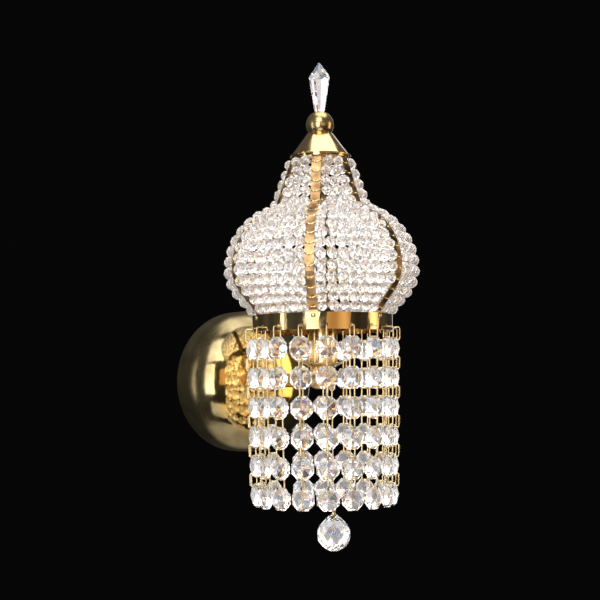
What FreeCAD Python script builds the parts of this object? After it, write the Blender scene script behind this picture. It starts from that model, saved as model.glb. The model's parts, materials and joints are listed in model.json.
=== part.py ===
import FreeCAD, Part
import math
import os
import Sketcher

# Crystal wall sconce. Millimetres, +Z up. The origin is the centre of the wall plate on the wall
# plane y = 0, the object stands out towards -Y, and the lamp axis is the vertical line y = -reach.

Vector = FreeCAD.Vector
Rotation = FreeCAD.Rotation
X_AXIS = Vector(1, 0, 0)
Y_AXIS = Vector(0, 1, 0)
Z_AXIS = Vector(0, 0, 1)

doc = FreeCAD.newDocument("crystal_wall_sconce")
sheet = doc.addObject("Spreadsheet::Sheet", "Sizes")

# Every independent size, once. Heights are above the arm's centre line unless the name says more.
SIZES = [
    # fits
    ("fit", 0.1),                     # radial clearance between coaxial seats
    ("running_gap", 0.3),             # gap between pieces that only lie side by side
    # wall plate, a polished dome
    ("plate_radius", 63.7),
    ("plate_side", 16.6),             # depth of the straight side wall
    ("plate_dome", 34.4),             # depth of the elliptical front
    ("plate_wall", 1.2),
    # bracket behind the plate, a hat-shaped strap screwed to the wall
    ("bracket_width", 24),
    ("bracket_depth", 26),
    ("bracket_span", 68),             # outside the two legs
    ("bracket_foot", 16),
    ("bracket_gauge", 2),
    ("wall_hole_spacing", 84),
    ("wall_hole_radius", 2.4),
    # terminal block inside the bracket
    ("block_length", 18),
    ("block_depth", 13),
    ("block_height", 15),
    ("block_hole_radius", 1.6),
    ("block_holes", 3),
    # arm
    ("reach", 139),                   # wall to lamp axis
    ("arm_radius", 6),
    ("arm_bore", 3.6),
    ("arm_end", 6.5),                 # lamp axis to the arm's end inside the hub
    ("tail_radius", 5),
    ("tail_length", 10),
    ("nut_flats", 17),
    ("nut_height", 5),
    ("collar_radius", 9.5),
    ("collar_length", 6),
    ("collar_bevel", 1.5),
    # hub under the lamp
    ("hub_radius", 10.5),
    ("hub_top", 10.6),
    ("hub_depth", 7.6),               # below the arm's centre line
    ("hub_round", 3.4),
    ("nipple_radius", 4.9),
    ("nipple_bore", 3.4),
    ("nipple_bottom", 1),
    ("nipple_seat", 4),               # length held in the lamp holder
    ("eye_reach", 13),                # lamp axis to the pendant eye's hole
    ("eye_drop", 3),
    ("eye_radius", 2.9),
    ("eye_hole", 1.6),
    ("eye_gauge", 1.6),
    # drip plate and lamp sleeve
    ("drip_radius", 16.5),
    ("drip_height", 3.8),
    ("drip_lip", 1),
    ("sleeve_radius", 12.3),
    ("sleeve_wall", 1),
    ("sleeve_length", 30),
    # lamp holder for a small screw base
    ("holder_radius", 10.5),
    ("holder_drop", 24.4),            # sleeve's top edge down to the holder's foot
    ("holder_length", 40),
    ("lamp_bore", 7.2),
    ("lamp_bore_depth", 24),
    ("holder_ring_radius", 14.5),
    ("holder_ring_height", 4),
    # spider from the holder to the ring band
    ("spider_gauge", 2),
    ("spider_hub_radius", 15),
    ("spoke_width", 8),
    ("spoke_count", 3),
    # ring band
    ("ring_radius", 58.5),
    ("ring_wall", 1.2),
    ("ring_height", 13.5),
    ("ring_bottom", 39.7),
    ("hook_hole_radius", 1.5),
    ("hook_hole_height", 3.3),        # above the band's lower edge
    ("hook_play", 0.6),               # under a top link's bar, for its tilt as the strand swings
    ("ring_screw_drop", 2.6),         # below the band's upper edge
    # dome ribs, flat strips bent to the onion outline
    ("rib_count", 6),
    ("rib_turn", 19),                 # first rib, degrees from the front
    ("rib_width", 7.5),
    ("rib_gauge", 1.2),
    ("rib_tab", 8),                   # straight foot inside the ring band
    ("rib_foot_bend", 3),
    ("rib_top_bend", 2.5),
    ("dome_radius", 77.4),            # rib centre line at the belly
    ("belly_height", 91),
    ("belly_curve", 29.7),
    ("skirt_rise", 2.33),             # where the skirt's line meets the foot, above the band
    ("shoulder_curve", 52.9),
    ("hollow_curve", 11.6),
    ("neck_radius", 24.05),           # neck line, carried up to the crown tabs
    ("neck_lean", 19.5),
    ("crown_tab_radius", 15),         # inner ends of the top tabs
    ("crown_screw_radius", 19.5),
    # crown disc and cone cap
    ("crown_height", 186.6),
    ("crown_radius", 24),
    ("crown_gauge", 1.6),
    ("boss_radius", 6),
    ("boss_depth", 7),
    ("cap_rim_radius", 25.8),
    ("cap_lip", 1.2),
    ("cap_height", 20.3),
    ("cap_top_radius", 10.4),
    ("cap_wall", 1.2),
    # finial
    ("ball_radius", 11.7),
    ("ball_seat", 7.2),               # ball's centre above the cap
    ("ball_rise", 11.2),              # flat under the spike, above the ball's centre
    ("stud_radius", 2.4),
    ("spike_stud", 7),
    ("spike_base", 4.1),
    ("spike_waist", 8.2),
    ("spike_waist_height", 30.6),
    ("spike_height", 42.1),
    ("spike_tip", 0.3),
    # round-head screws
    ("screw_head", 1.8),
    ("screw_head_height", 1.2),
    ("screw_shank", 1),
    # bead panels
    ("bead_radius", 4.55),
    ("bead_rows", 17),
    ("bead_inset", 0),                # bead centres inside the rib centre line; here on it
    ("bead_overlap", 1.04),           # rows are this much wider than their pitch, so each panel is one piece
    # crystal strands
    ("strand_count", 18),
    ("strand_turn", 9),               # first strand, degrees from the front
    ("strand_radius", 58.4),
    ("strand_lean", 1.34),            # degrees, lower end inwards
    ("strand_swing_in", 0.5),         # degrees inwards before strands that all swing touch
    ("strand_gap", 0.12),             # between two crystals drawn in that far
    ("strand_arm_gap", 0.5),          # between the arm and the crystals beside it
    ("strand_crystals", 6),
    ("crystal_pitch", 23.9),
    ("crystal_drop", 14.5),           # band's lower edge to the first crystal's centre
    ("crystal_flats", 18),
    ("crystal_depth", 8.8),
    ("crystal_girdle", 1.6),
    ("crystal_bevel", 3.2),
    ("crystal_hole", 0.95),
    ("crystal_hole_inset", 2.1),
    ("link_wire", 0.5),
    ("link_half_depth", 4.3),
    ("link_bend", 1.3),
    # pendant
    ("pendant_drop", 126.1),          # arm's centre line to the ball's centre
    ("pendant_radius", 13.7),
    ("pendant_shoulder", 37),         # degrees from the ball's top where its cone-shaped neck begins
    ("pendant_neck", 16.2),           # ball's centre to the top of the neck
    ("pendant_wire", 0.6),
    ("pendant_loop", 2.6),
    ("cap_loop", 2.2),
    ("cap_disc_radius", 1.9),
    ("cap_disc_height", 1),
    ("cap_pin_radius", 0.6),
    ("cap_pin_depth", 8),
]


class Size:
    """A size with its number and the sheet expression that gives it."""

    def __init__(self, value, text):
        self.value = value
        self.text = text

    def __add__(self, other):
        return joined(self, "+", other, self.value + size(other).value)

    def __sub__(self, other):
        return joined(self, "-", other, self.value - size(other).value)

    def __mul__(self, other):
        return joined(self, "*", other, self.value * size(other).value)

    def __truediv__(self, other):
        return joined(self, "/", other, self.value / size(other).value)

    def __neg__(self):
        return Size(-self.value, f"-({self.text})")

    def root(self):
        return Size(math.sqrt(self.value), f"sqrt({self.text})")


def size(number):
    if isinstance(number, Size):
        return number
    return Size(float(number), f"{float(number):.9f}")


def joined(first, sign, second, value):
    return Size(value, f"({first.text} {sign} {size(second).text})")


class Sizes:
    """The sheet's cells by name."""


cells = Sizes()
for row, (alias, number) in enumerate(SIZES, start=1):
    sheet.set(f"A{row}", alias)
    sheet.set(f"B{row}", str(number))
    sheet.setAlias(f"B{row}", alias)
    setattr(cells, alias, Size(float(number), f"Sizes.{alias}"))
doc.recompute()

finished = {}


def bind(thing, field, number):
    """Tie one property of an object to the sheet."""
    thing.setExpression(field, size(number).text)


def finish(thing, name):
    """Name a finished sub-part."""
    thing.Label = name
    finished[name] = thing
    return thing


def place(thing, y):
    """Move an object along Y by a bound distance."""
    bind(thing, "Placement.Base.y", y)


# ---------------------------------------------------------------- sketches and features


def new_body(name):
    return doc.addObject("PartDesign::Body", name)


def new_sketch(body, name, plane, offset=None):
    """A sketch on one of the body's own origin planes, shifted along the plane's normal."""
    sketch = body.newObject("Sketcher::SketchObject", name)
    origin_plane = [item for item in body.Origin.OriginFeatures if item.Role == plane][0]
    sketch.AttachmentSupport = [(origin_plane, "")]
    sketch.MapMode = "FlatFace"
    if offset is not None:
        bind(sketch, "AttachmentOffset.Base.z", offset)
    return sketch


def hold(sketch, kind, edge, point, number):
    """Fix one coordinate of a point from the sketch's origin."""
    at = sketch.addConstraint(Sketcher.Constraint(kind, -1, 1, edge, point, size(number).value))
    sketch.setExpression(f"Constraints[{at}]", size(number).text)


def draw_outline(sketch, points):
    """A closed outline of straight lines through points of bound sizes."""
    spots = [Vector(size(x).value, size(y).value, 0) for x, y in points]
    count = len(spots)
    edges = []
    for i in range(count):
        line = Part.LineSegment(spots[i], spots[(i + 1) % count])
        edges.append(sketch.addGeometry(line, False))
    for i in range(count):
        after = edges[(i + 1) % count]
        sketch.addConstraint(Sketcher.Constraint("Coincident", edges[i], 2, after, 1))
    for edge, (x, y) in zip(edges, points):
        hold(sketch, "DistanceX", edge, 1, x)
        hold(sketch, "DistanceY", edge, 1, y)
    return sketch


def draw_circle(sketch, x, y, radius):
    spot = Vector(size(x).value, size(y).value, 0)
    circle = Part.Circle(spot, Z_AXIS, size(radius).value)
    edge = sketch.addGeometry(circle, False)
    hold(sketch, "DistanceX", edge, 3, x)
    hold(sketch, "DistanceY", edge, 3, y)
    at = sketch.addConstraint(Sketcher.Constraint("Radius", edge, size(radius).value))
    sketch.setExpression(f"Constraints[{at}]", size(radius).text)
    return sketch


def draw_chain(sketch, stretches):
    """A closed outline of ready runs and bends, joined end to start."""
    ends = []
    for stretch in stretches:
        edge = sketch.addGeometry(stretch.edge(), False)
        start = Vector(*stretch.at(0), 0)
        first, last = [sketch.getPoint(edge, point) for point in (1, 2)]
        forwards = first.distanceToPoint(start) < last.distanceToPoint(start)
        ends.append((edge, 1, 2) if forwards else (edge, 2, 1))
    for (edge, _, last), (after, first, _) in zip(ends, ends[1:] + ends[:1]):
        sketch.addConstraint(Sketcher.Constraint("Coincident", edge, last, after, first))
    return sketch


def pad(body, sketch, length, midplane=False):
    feature = body.newObject("PartDesign::Pad", sketch.Name + "_pad")
    feature.Profile = sketch
    feature.SideType = "Symmetric" if midplane else "One side"
    bind(feature, "Length", length)
    return feature


def cut_through(body, sketch):
    feature = body.newObject("PartDesign::Pocket", sketch.Name + "_cut")
    feature.Profile = sketch
    feature.SideType = "Symmetric"
    feature.Type = "ThroughAll"
    return feature


def cut_deep(body, sketch, depth):
    feature = body.newObject("PartDesign::Pocket", sketch.Name + "_cut")
    feature.Profile = sketch
    bind(feature, "Length", depth)
    return feature


def turn(body, sketch, axis):
    """A full turn of a sketch about its own horizontal or vertical axis."""
    feature = body.newObject("PartDesign::Revolution", sketch.Name + "_turn")
    feature.Profile = sketch
    feature.ReferenceAxis = (sketch, [axis])
    feature.Angle = 360
    return feature


def turned_body(name, points):
    """A body turned about Z from an outline of (radius, height) points."""
    body = new_body(name)
    sketch = draw_outline(new_sketch(body, name + "_outline", "XZ_Plane"), points)
    turn(body, sketch, "V_Axis")
    return body


def ring_points(inner, outer, bottom, top):
    return [(inner, bottom), (outer, bottom), (outer, top), (inner, top)]


def polar(count, start):
    """Angles in degrees, evenly round a circle."""
    return [start + 360.0 / count * i for i in range(count)]


def direction(angle):
    """Unit vector in plan, for degrees measured from +X."""
    return Vector(math.cos(math.radians(angle)), math.sin(math.radians(angle)), 0)


# ---------------------------------------------------------------- heights and angles shared by several pieces

FRONT = -90.0

sleeve_bottom = cells.hub_top + cells.drip_height
sleeve_top = sleeve_bottom + cells.sleeve_length
holder_bottom = sleeve_top - cells.holder_drop
holder_top = holder_bottom + cells.holder_length
nipple_top = holder_bottom + cells.nipple_seat
ring_top = cells.ring_bottom + cells.ring_height
ring_inner = cells.ring_radius - cells.ring_wall
ring_screw_height = ring_top - cells.ring_screw_drop
hook_hole_centre = cells.ring_bottom + cells.hook_hole_height
hook_height = hook_hole_centre - cells.hook_hole_radius + cells.link_wire + cells.hook_play
# a flat rib foot meets the round band at its two edges
rib_seat = (ring_inner * ring_inner - cells.rib_width * cells.rib_width / 4).root()
rib_foot_radius = rib_seat - cells.rib_gauge / 2
crown_bottom = cells.crown_height - cells.crown_gauge
crown_tab_height = crown_bottom - cells.rib_gauge / 2
cap_top = cells.crown_height + cells.cap_height
ball_centre = cap_top + cells.ball_seat
spike_bottom = ball_centre + cells.ball_rise
plate_depth = cells.plate_side + cells.plate_dome
nut_corner = cells.nut_flats / math.sqrt(3)

rib_angles = polar(int(cells.rib_count.value), FRONT + cells.rib_turn.value)
spoke_step = int(cells.rib_count.value) // int(cells.spoke_count.value)
spoke_angles = rib_angles[1::spoke_step]

crystal_centres = []
for i in range(int(cells.strand_crystals.value)):
    crystal_centres.append((cells.ring_bottom - cells.crystal_drop - cells.crystal_pitch * i).value)
strand_middle = (crystal_centres[0] + crystal_centres[-1]) / 2


def strand_line(height):
    """Point of a strand's leaning line; its middle lies plumb under the hook hole."""
    across = (height - strand_middle) * math.tan(math.radians(cells.strand_lean.value))
    return Vector(cells.strand_radius.value + across, 0, height)


def strand_directions():
    """Strand angles from the front. Beside the arm they draw apart until they clear it."""
    count = int(cells.strand_count.value)
    half_width = cells.crystal_flats.value / 2
    half_side = half_width * math.tan(math.pi / 8)
    radius = cells.strand_radius.value
    beside = cells.arm_radius.value + half_width + cells.strand_arm_gap.value
    nearest = math.degrees(math.asin(beside / radius))
    # the lowest crystals' inner corners come closest to the axis when every strand swings in
    swing = math.radians(cells.strand_swing_in.value)
    lean = math.radians(cells.strand_lean.value)
    inwards = (hook_height.value - crystal_centres[-1]) * math.tan(swing)
    inwards += half_side * math.tan(swing + lean) + cells.crystal_girdle.value / 2
    tight = strand_line(crystal_centres[-1]).x - inwards
    spacing = 2 * math.degrees(math.atan((half_width + cells.strand_gap.value / 2) / tight))
    moved = []
    for angle in polar(count, cells.strand_turn.value):
        from_arm = angle % 360.0 - 180.0
        rank = int(abs(from_arm) // (360.0 / count))
        apart = max(abs(from_arm), nearest + spacing * rank)
        moved.append(180.0 + math.copysign(apart, from_arm))
    return moved


# ---------------------------------------------------------------- wall plate, bracket and arm


def dome_solid(name, shrink):
    """The plate's outer form, or the hollow behind it when shrunk by the wall."""
    drum = doc.addObject("Part::Cylinder", name + "_drum")
    bind(drum, "Radius", cells.plate_radius - shrink)
    bind(drum, "Height", cells.plate_side)
    front = doc.addObject("Part::Ellipsoid", name + "_front")
    bind(front, "Radius1", cells.plate_dome - shrink)
    bind(front, "Radius2", cells.plate_radius - shrink)
    bind(front, "Radius3", cells.plate_radius - shrink)
    front.Angle1 = 0
    front.Angle2 = 90
    bind(front, "Placement.Base.z", cells.plate_side)
    whole = doc.addObject("Part::Fuse", name)
    whole.Base = drum
    whole.Tool = front
    return whole


def wall_plate():
    outer = dome_solid("plate_outer", 0)
    inner = dome_solid("plate_inner", cells.plate_wall)
    shell = doc.addObject("Part::Cut", "plate_shell")
    shell.Base = outer
    shell.Tool = inner
    hole = doc.addObject("Part::Cylinder", "plate_arm_hole")
    bind(hole, "Radius", cells.arm_radius + cells.running_gap)
    bind(hole, "Height", plate_depth + cells.plate_wall)
    plate = doc.addObject("Part::Cut", "wall_plate")
    plate.Base = shell
    plate.Tool = hole
    plate.Placement = FreeCAD.Placement(Vector(), Rotation(X_AXIS, 90))
    return finish(plate, "wall_plate")


def mounting_bracket():
    body = new_body("mounting_bracket")
    half = cells.bracket_span / 2
    tip = half + cells.bracket_foot
    gauge = cells.bracket_gauge
    depth = cells.bracket_depth
    inner = half - gauge
    points = [
        (-tip, 0),
        (-inner, 0),
        (-inner, gauge - depth),
        (inner, gauge - depth),
        (inner, 0),
        (tip, 0),
        (tip, -gauge),
        (half, -gauge),
        (half, -depth),
        (-half, -depth),
        (-half, -gauge),
        (-tip, -gauge),
    ]
    strap = draw_outline(new_sketch(body, "bracket_strap", "XY_Plane"), points)
    pad(body, strap, cells.bracket_width, midplane=True)
    doc.recompute()
    holes = new_sketch(body, "bracket_holes", "XZ_Plane")
    draw_circle(holes, 0, 0, cells.tail_radius + cells.fit)
    draw_circle(holes, cells.wall_hole_spacing / 2, 0, cells.wall_hole_radius)
    draw_circle(holes, -(cells.wall_hole_spacing / 2), 0, cells.wall_hole_radius)
    cut_through(body, holes)
    return finish(body, "mounting_bracket")


def terminal_block():
    """The block sits against the back of the bracket's bridge, beside the arm's nut."""
    body = new_body("terminal_block")
    start = nut_corner + cells.running_gap
    seat = cells.bracket_gauge - cells.bracket_depth
    base = draw_outline(
        new_sketch(body, "block_outline", "XY_Plane"),
        [
            (start, seat),
            (start + cells.block_length, seat),
            (start + cells.block_length, seat + cells.block_depth),
            (start, seat + cells.block_depth),
        ],
    )
    pad(body, base, cells.block_height, midplane=True)
    doc.recompute()
    holes = new_sketch(body, "block_holes", "XY_Plane")
    count = int(cells.block_holes.value)
    for i in range(count):
        across = start + cells.block_length * ((i + 0.5) / count)
        draw_circle(holes, across, seat + cells.block_depth / 2, cells.block_hole_radius)
    cut_through(body, holes)
    return finish(body, "terminal_block")


def arm_tube():
    """The arm's shoulder bears on the bracket; its thinner tail passes through to the nut."""
    body = new_body("arm_tube")
    shoulder = -cells.bracket_depth
    points = [
        (cells.arm_bore, cells.arm_end - cells.reach),
        (cells.arm_radius, cells.arm_end - cells.reach),
        (cells.arm_radius, shoulder),
        (cells.tail_radius, shoulder),
        (cells.tail_radius, shoulder + cells.tail_length),
        (cells.arm_bore, shoulder + cells.tail_length),
    ]
    outline = draw_outline(new_sketch(body, "arm_outline", "XY_Plane"), points)
    turn(body, outline, "V_Axis")
    return finish(body, "arm_tube")


def arm_nut():
    body = new_body("arm_nut")
    sketch = new_sketch(body, "nut_outline", "XZ_Plane")
    corners = [direction(angle) for angle in polar(6, 0.0)]
    draw_outline(sketch, [(nut_corner * corner.x, nut_corner * corner.y) for corner in corners])
    draw_circle(sketch, 0, 0, cells.tail_radius + cells.fit)
    pad(body, sketch, cells.nut_height)
    place(body, cells.bracket_gauge - cells.bracket_depth + cells.nut_height)
    return finish(body, "arm_nut")


def arm_collar():
    """A ring clamped on the arm, its back face against the plate's front."""
    body = new_body("arm_collar")
    share = (cells.arm_radius.value + cells.running_gap.value) / cells.plate_radius.value
    seat = -(cells.plate_side + cells.plate_dome * math.sqrt(1 - share * share))
    inner = cells.arm_radius + cells.fit
    bevel = cells.collar_bevel
    points = [
        (inner, seat),
        (cells.collar_radius, seat),
        (cells.collar_radius, seat - cells.collar_length + bevel),
        (cells.collar_radius - bevel, seat - cells.collar_length),
        (inner, seat - cells.collar_length),
    ]
    outline = draw_outline(new_sketch(body, "collar_outline", "XY_Plane"), points)
    turn(body, outline, "V_Axis")
    return finish(body, "arm_collar")


# ---------------------------------------------------------------- hub, lamp holder and spider


def hub():
    """A turned hub that takes the arm at its back and carries the pendant's eye in front."""
    body = new_body("hub")
    low = -cells.hub_depth
    bevel = cells.hub_round
    points = [
        (0, low),
        (cells.hub_radius - bevel, low),
        (cells.hub_radius, low + bevel),
        (cells.hub_radius, cells.hub_top),
        (0, cells.hub_top),
    ]
    turn(body, draw_outline(new_sketch(body, "hub_outline", "XZ_Plane"), points), "V_Axis")
    eye = new_sketch(body, "hub_eye", "YZ_Plane")
    draw_circle(eye, -cells.eye_reach, -cells.eye_drop, cells.eye_radius)
    pad(body, eye, cells.eye_gauge, midplane=True)
    doc.recompute()
    eye_hole = new_sketch(body, "hub_eye_hole", "YZ_Plane")
    draw_circle(eye_hole, -cells.eye_reach, -cells.eye_drop, cells.eye_hole)
    cut_through(body, eye_hole)
    well = new_sketch(body, "hub_well", "XY_Plane", cells.hub_top)
    draw_circle(well, 0, 0, cells.nipple_radius + cells.fit)
    cut_deep(body, well, cells.hub_top + cells.arm_bore + cells.nipple_bottom)
    doc.recompute()
    socket = new_sketch(body, "hub_arm_socket", "XZ_Plane", -(cells.arm_end - cells.fit))
    draw_circle(socket, 0, 0, cells.arm_radius + cells.fit)
    cut_deep(body, socket, cells.hub_radius)
    doc.recompute()
    way = new_sketch(body, "hub_wire_way", "XZ_Plane")
    draw_circle(way, 0, 0, cells.arm_bore)
    cut_deep(body, way, cells.arm_end)
    place(body, -cells.reach)
    return finish(body, "hub")


def lamp_parts():
    """Nipple, drip plate, sleeve, holder and holder ring, stacked on the hub."""
    bore = cells.nipple_radius + cells.fit
    nipple = turned_body(
        "stem_nipple",
        ring_points(cells.nipple_bore, cells.nipple_radius, cells.nipple_bottom, nipple_top),
    )
    lip = cells.drip_lip
    drip = turned_body(
        "drip_plate",
        [
            (bore, cells.hub_top),
            (cells.hub_radius, cells.hub_top),
            (cells.drip_radius, sleeve_bottom - lip),
            (cells.drip_radius, sleeve_bottom),
            (bore, sleeve_bottom),
        ],
    )
    sleeve = turned_body(
        "socket_sleeve",
        ring_points(
            cells.sleeve_radius - cells.sleeve_wall, cells.sleeve_radius, sleeve_bottom, sleeve_top
        ),
    )
    holder = turned_body(
        "lamp_holder",
        [
            (bore, holder_bottom),
            (cells.holder_radius, holder_bottom),
            (cells.holder_radius, holder_top),
            (cells.lamp_bore, holder_top),
            (cells.lamp_bore, holder_top - cells.lamp_bore_depth),
            (cells.nipple_bore, holder_top - cells.lamp_bore_depth),
            (cells.nipple_bore, nipple_top),
            (bore, nipple_top),
        ],
    )
    ring_seat = sleeve_top + cells.spider_gauge
    ring = turned_body(
        "holder_ring",
        ring_points(
            cells.holder_radius + cells.fit,
            cells.holder_ring_radius,
            ring_seat,
            ring_seat + cells.holder_ring_height,
        ),
    )
    for body in (nipple, drip, sleeve, holder, ring):
        place(body, -cells.reach)
        finish(body, body.Name)


def screw_hole(name, angle, radius, height, reach):
    """A radial hole cutter through band, rib foot and spider tab."""
    cutter = doc.addObject("Part::Cylinder", name)
    bind(cutter, "Radius", radius)
    bind(cutter, "Height", reach)
    cutter.Placement = FreeCAD.Placement(Vector(), Rotation(Z_AXIS, direction(angle)))
    far = cells.ring_radius + cells.ring_wall
    bind(cutter, "Placement.Base.x", (far - reach) * math.cos(math.radians(angle)))
    bind(cutter, "Placement.Base.y", (far - reach) * math.sin(math.radians(angle)))
    bind(cutter, "Placement.Base.z", height)
    return cutter


def ring_spider():
    """Flat spokes from the lamp holder, each with a tab turned up behind a rib's foot."""
    body = new_body("spider_blank")
    seat = sleeve_top
    tab_outer = rib_seat - cells.rib_gauge
    tab_inner = tab_outer - cells.spider_gauge
    wheel = new_sketch(body, "spider_wheel", "XY_Plane", seat)
    draw_circle(wheel, 0, 0, cells.spider_hub_radius)
    pad(body, wheel, cells.spider_gauge)
    spoke = new_sketch(body, "spider_spoke", "XZ_Plane")
    start = cells.holder_radius + cells.spider_gauge
    draw_outline(
        spoke,
        [
            (start, seat),
            (tab_outer, seat),
            (tab_outer, ring_top),
            (tab_inner, ring_top),
            (tab_inner, seat + cells.spider_gauge),
            (start, seat + cells.spider_gauge),
        ],
    )
    arm = pad(body, spoke, cells.spoke_width, midplane=True)
    doc.recompute()
    spokes = body.newObject("PartDesign::PolarPattern", "spider_spokes")
    spokes.Originals = [arm]
    spokes.Axis = (wheel, ["N_Axis"])
    spokes.Angle = spoke_angles[-1] - spoke_angles[0]
    spokes.Occurrences = len(spoke_angles)
    body.Tip = spokes
    doc.recompute()
    bore = new_sketch(body, "spider_bore", "XY_Plane", seat)
    draw_circle(bore, 0, 0, cells.holder_radius + cells.fit)
    cut_through(body, bore)
    body.Placement = FreeCAD.Placement(Vector(), Rotation(Z_AXIS, spoke_angles[0]))
    cutters = [
        screw_hole(
            f"spider_hole_{i}",
            angle,
            cells.screw_shank + cells.fit,
            ring_screw_height,
            cells.ring_height,
        )
        for i, angle in enumerate(spoke_angles)
    ]
    return cut_by(body, cutters, "ring_spider")


def cut_by(base, cutters, name):
    """Cut one or more tools from a base and set the result on the lamp axis."""
    tool = cutters[0]
    if len(cutters) > 1:
        tool = doc.addObject("Part::MultiFuse", name + "_tools")
        tool.Shapes = cutters
    result = doc.addObject("Part::Cut", name)
    result.Base = base
    result.Tool = tool
    place(result, -cells.reach)
    return finish(result, name)


def ring_band():
    """The flat brass band, with a hook hole for each strand and a screw hole for each rib."""
    body = new_body("band_blank")
    sketch = new_sketch(body, "band_outline", "XY_Plane", cells.ring_bottom)
    draw_circle(sketch, 0, 0, cells.ring_radius)
    draw_circle(sketch, 0, 0, ring_inner)
    pad(body, sketch, cells.ring_height)
    cutters = []
    for i, angle in enumerate(rib_angles):
        hole = cells.screw_shank + cells.fit
        depth = cells.ring_wall * 3
        cutters.append(screw_hole(f"band_screw_hole_{i}", angle, hole, ring_screw_height, depth))
    for i, angle in enumerate(strand_angles):
        hole = cells.hook_hole_radius
        depth = cells.ring_wall * 3
        cutters.append(screw_hole(f"band_hook_hole_{i}", angle, hole, hook_hole_centre, depth))
    return cut_by(body, cutters, "ring_band")


# ---------------------------------------------------------------- onion outline, ribs and bead panels


class Bend:
    """A circular stretch of an outline, from one angle to another (degrees)."""

    def __init__(self, centre, radius, start, end):
        self.centre = centre
        self.radius = radius
        self.start = start
        self.end = end

    def at(self, share):
        angle = math.radians(self.start + (self.end - self.start) * share)
        return (
            self.centre[0] + self.radius * math.cos(angle),
            self.centre[1] + self.radius * math.sin(angle),
        )

    def length(self):
        return abs(math.radians(self.end - self.start)) * self.radius

    def edge(self):
        spots = [Vector(*self.at(share), 0) for share in (0, 0.5, 1)]
        return Part.Arc(*spots)

    def reverse(self):
        return Bend(self.centre, self.radius, self.end, self.start)


class Run:
    """A straight stretch of an outline."""

    def __init__(self, start, end):
        self.start = start
        self.end = end

    def at(self, share):
        return (
            self.start[0] + (self.end[0] - self.start[0]) * share,
            self.start[1] + (self.end[1] - self.start[1]) * share,
        )

    def length(self):
        return math.dist(self.start, self.end)

    def edge(self):
        return Part.LineSegment(Vector(*self.start, 0), Vector(*self.end, 0))

    def reverse(self):
        return Run(self.end, self.start)


def skirt_angle():
    """Degrees of belly curve below the widest point, so that the skirt's line meets the ribs' feet."""
    across = rib_foot_radius.value - (cells.dome_radius - cells.belly_curve).value
    down = (ring_top + cells.skirt_rise - cells.belly_height).value
    tangent = math.acos(cells.belly_curve.value / math.hypot(across, down))
    return -math.degrees(math.atan2(down, across) + tangent)


def onion_outline(inset):
    """Stretches of the dome's outline, top to bottom, moved inwards by inset.

    A straight neck runs into a hollow curve, then the shoulder, the belly and a straight skirt."""
    lean = math.radians(cells.neck_lean.value)
    top = crown_tab_height.value
    along = (math.sin(lean), -math.cos(lean))
    out = (math.cos(lean), math.sin(lean))
    neck = (cells.neck_radius.value - inset * out[0], top - inset * out[1])
    hollow = cells.hollow_curve.value + inset
    shoulder = cells.shoulder_curve.value - inset
    belly = cells.belly_curve.value - inset
    widest = cells.dome_radius.value - inset
    shoulder_centre = (widest - shoulder, cells.belly_height.value)
    belly_centre = (widest - belly, cells.belly_height.value)
    # the hollow curve touches the neck line and the shoulder circle from outside
    base = (neck[0] + hollow * out[0], neck[1] + hollow * out[1])
    gap = (base[0] - shoulder_centre[0], base[1] - shoulder_centre[1])
    dot = gap[0] * along[0] + gap[1] * along[1]
    rest = gap[0] ** 2 + gap[1] ** 2 - (shoulder + hollow) ** 2
    travel = -dot - math.sqrt(dot * dot - rest)
    hollow_centre = (base[0] + travel * along[0], base[1] + travel * along[1])
    neck_end = (hollow_centre[0] - hollow * out[0], hollow_centre[1] - hollow * out[1])
    turn_angle = math.degrees(
        math.atan2(hollow_centre[1] - shoulder_centre[1], hollow_centre[0] - shoulder_centre[0])
    )
    sweep = skirt_angle()
    belly_bend = Bend(belly_centre, belly, 0, -sweep)
    skirt_start = belly_bend.at(1)
    down = (-math.sin(math.radians(sweep)), -math.cos(math.radians(sweep)))
    reach = (skirt_start[1] - ring_top.value) / -down[1]
    skirt_end = (skirt_start[0] + down[0] * reach, ring_top.value)
    return [
        Run(neck, neck_end),
        Bend(hollow_centre, hollow, 180 + cells.neck_lean.value, 180 + turn_angle),
        Bend(shoulder_centre, shoulder, turn_angle, 0),
        belly_bend,
        Run(skirt_start, skirt_end),
    ]


def crossing(first, second):
    """Where two straight runs meet when carried on."""
    x1, y1 = first.start
    x2, y2 = first.end
    x3, y3 = second.start
    x4, y4 = second.end
    divisor = (x1 - x2) * (y3 - y4) - (y1 - y2) * (x3 - x4)
    a = x1 * y2 - y1 * x2
    b = x3 * y4 - y3 * x4
    return ((a * (x3 - x4) - (x1 - x2) * b) / divisor, (a * (y3 - y4) - (y1 - y2) * b) / divisor)


def rounded(first, second, radius, bulge):
    """Join two straight runs with a bend; bulge is +1 where the bend turns clockwise."""
    corner = crossing(first, second)
    before = unit(first)
    after = unit(second)
    half_turn = math.acos(before[0] * after[0] + before[1] * after[1]) / 2
    back = radius * math.tan(half_turn)
    start = (corner[0] - before[0] * back, corner[1] - before[1] * back)
    end = (corner[0] + after[0] * back, corner[1] + after[1] * back)
    centre = (start[0] + bulge * before[1] * radius, start[1] - bulge * before[0] * radius)
    from_angle = math.degrees(math.atan2(start[1] - centre[1], start[0] - centre[0]))
    to_angle = math.degrees(math.atan2(end[1] - centre[1], end[0] - centre[0]))
    if bulge > 0 and to_angle > from_angle:
        to_angle -= 360
    if bulge < 0 and to_angle < from_angle:
        to_angle += 360
    bend = Bend(centre, radius, from_angle, to_angle)
    return Run(first.start, start), bend, Run(end, second.end)


def unit(run):
    length = run.length()
    return ((run.end[0] - run.start[0]) / length, (run.end[1] - run.start[1]) / length)


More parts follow.
